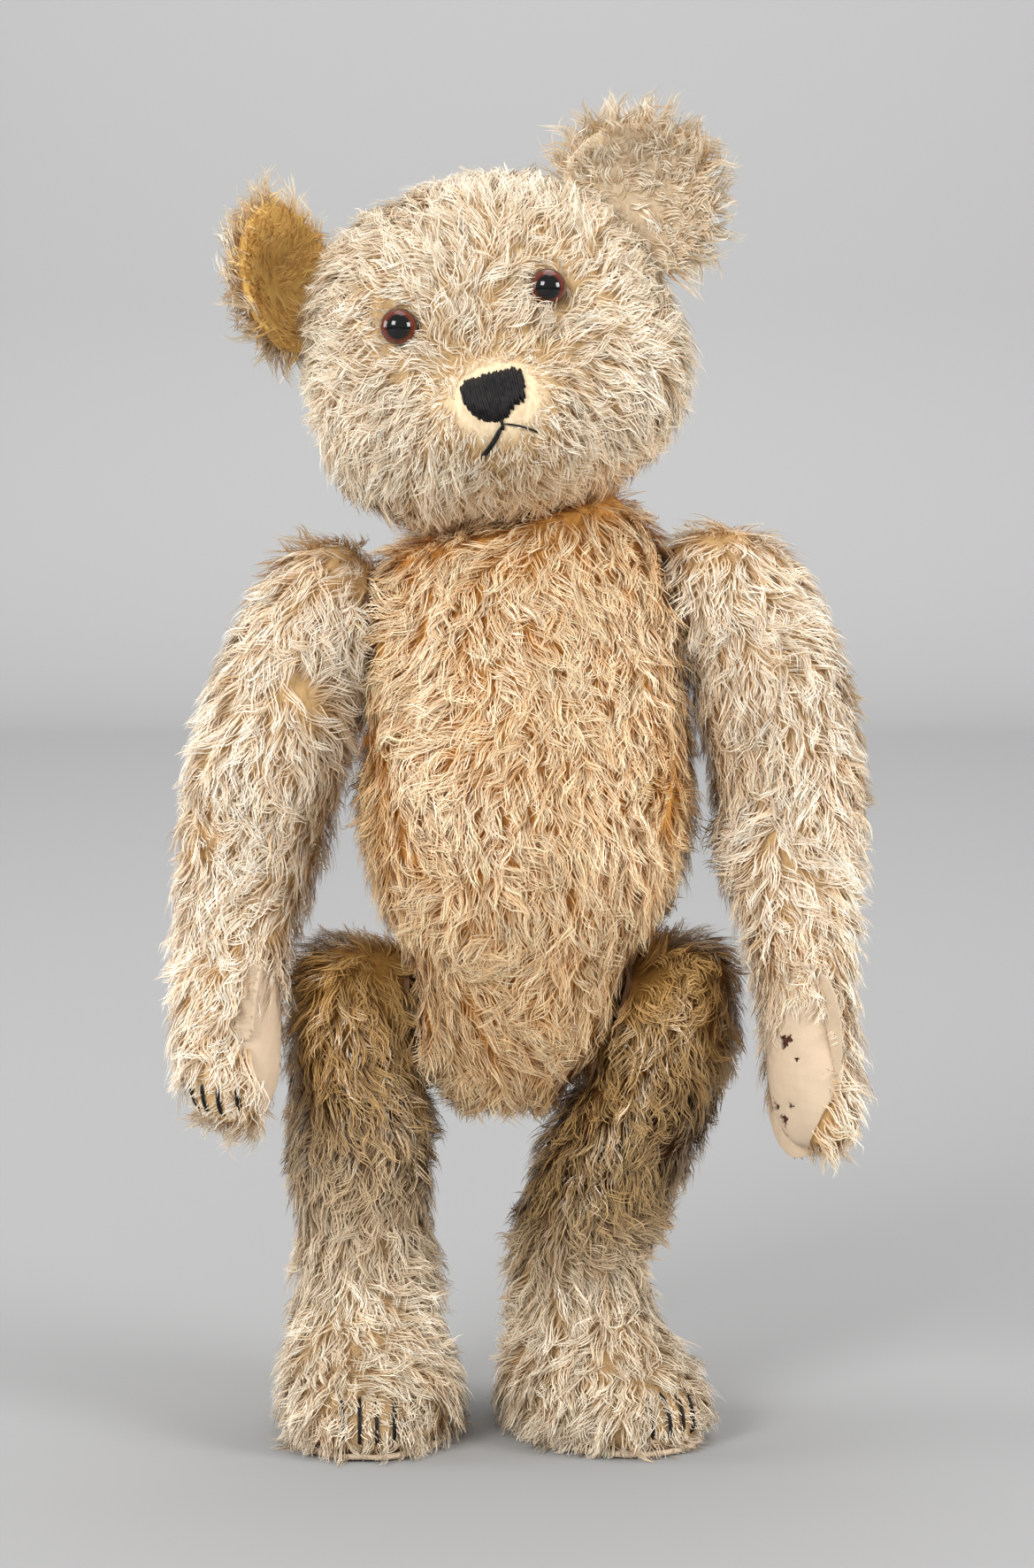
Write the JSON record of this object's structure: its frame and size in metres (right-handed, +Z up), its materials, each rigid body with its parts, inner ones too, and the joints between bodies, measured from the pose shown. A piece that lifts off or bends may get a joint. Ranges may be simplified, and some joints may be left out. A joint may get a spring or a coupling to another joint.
{
  "type": "jointed teddy bear",
  "caption": "Standing disc-jointed teddy bear in worn curly mohair with felt pads, glass eyes, stitched nose and a tilt growler.",
  "frame": {"origin": "middle of the bottom of the bear's box, on the floor under its soles", "axes": "+Z up, -Y the way the bear faces, +X the bear's own left"},
  "size_m": [0.3616, 0.213, 0.6925],
  "materials": {
    "mohair_cream": "long lustrous pile",
    "mohair_gold": "long lustrous pile",
    "mohair_tan": "long lustrous pile",
    "mohair_amber": "short dense pile",
    "felt_cream": "matt felt",
    "thread_black": "satin stitch",
    "eye_glass": "gloss",
    "wood_wool": "matt",
    "hardboard": "matt",
    "steel": "satin",
    "cardboard": "matt",
    "bellows_leather": "matt",
    "weight_iron": "matt",
    "reed_brass": "satin"
  },
  "bodies": {
    "torso": {"torso_front_left": "mohair_gold", "torso_front_right": "mohair_gold", "torso_back_left": "mohair_gold", "torso_back_right": "mohair_gold", "torso_stuffing": "wood_wool", "neck_disc_lower": "hardboard", "shoulder_discs_inner": "hardboard", "hip_discs_inner": "hardboard", "joint_washers_inner": "steel", "cotter_pins": "steel", "growler_case": "cardboard", "growler_end_caps": "cardboard", "growler_bellows": "bellows_leather", "growler_reed": "reed_brass"},
    "growler_weight": {"growler_weight": "weight_iron"},
    "head": {"head_gusset": "mohair_cream", "head_side_left": "mohair_cream", "head_side_right": "mohair_cream", "head_stuffing": "wood_wool", "eye_left": "eye_glass", "eye_right": "eye_glass", "eye_shanks": "steel", "ear_front_left": "mohair_cream", "ear_back_left": "mohair_cream", "ear_front_right": "mohair_amber", "ear_back_right": "mohair_cream", "nose_embroidery": "thread_black", "mouth_stitches": "thread_black", "neck_disc_upper": "hardboard", "neck_washer_upper": "steel"},
    "arm_left": {"arm_left_outer_panel": "mohair_cream", "arm_left_inner_panel": "mohair_cream", "paw_pad_left": "felt_cream", "arm_left_stuffing": "wood_wool", "arm_left_claws": "thread_black", "arm_left_disc": "hardboard", "arm_left_washer": "steel"},
    "leg_left": {"leg_left_outer_panel": "mohair_tan", "leg_left_inner_panel": "mohair_tan", "sole_left": "felt_cream", "insole_board_left": "cardboard", "leg_left_stuffing": "wood_wool", "leg_left_claws": "thread_black", "leg_left_disc": "hardboard", "leg_left_washer": "steel"},
    "arm_right": {"arm_right_outer_panel": "mohair_cream", "arm_right_inner_panel": "mohair_cream", "paw_pad_right": "felt_cream", "arm_right_stuffing": "wood_wool", "arm_right_claws": "thread_black", "arm_right_disc": "hardboard", "arm_right_washer": "steel"},
    "leg_right": {"leg_right_outer_panel": "mohair_tan", "leg_right_inner_panel": "mohair_tan", "sole_right": "felt_cream", "insole_board_right": "cardboard", "leg_right_stuffing": "wood_wool", "leg_right_claws": "thread_black", "leg_right_disc": "hardboard", "leg_right_washer": "steel"}
  },
  "joints": [
    {"name": "head_turn", "type": "hinge", "parent": "torso", "child": "head", "pos_m": [0.00445, 0.01448, 0.49], "axis": [-0.2554, 0, 0.9668], "continuous": true},
    {"name": "shoulder_left", "type": "hinge", "parent": "torso", "child": "arm_left", "pos_m": [0.08145, 0.01448, 0.44], "axis": [-0.9848, 0, -0.1736], "range_deg": [-60, 110]},
    {"name": "shoulder_right", "type": "hinge", "parent": "torso", "child": "arm_right", "pos_m": [-0.07855, 0.01448, 0.43], "axis": [-0.9848, 0, 0.1736], "range_deg": [-60, 110]},
    {"name": "hip_left", "type": "hinge", "parent": "torso", "child": "leg_left", "pos_m": [0.04845, 0.01448, 0.225], "axis": [-0.9613, 0, 0.2756], "range_deg": [-35, 90]},
    {"name": "hip_right", "type": "hinge", "parent": "torso", "child": "leg_right", "pos_m": [-0.05555, 0.01448, 0.225], "axis": [-1, 0, 0], "range_deg": [-35, 90]},
    {"name": "growler_slide", "type": "slide", "parent": "torso", "child": "growler_weight", "axis": [0, 0, 1], "range_m": [0, 0.016], "deforming": ["growler_bellows"]}
  ]
}
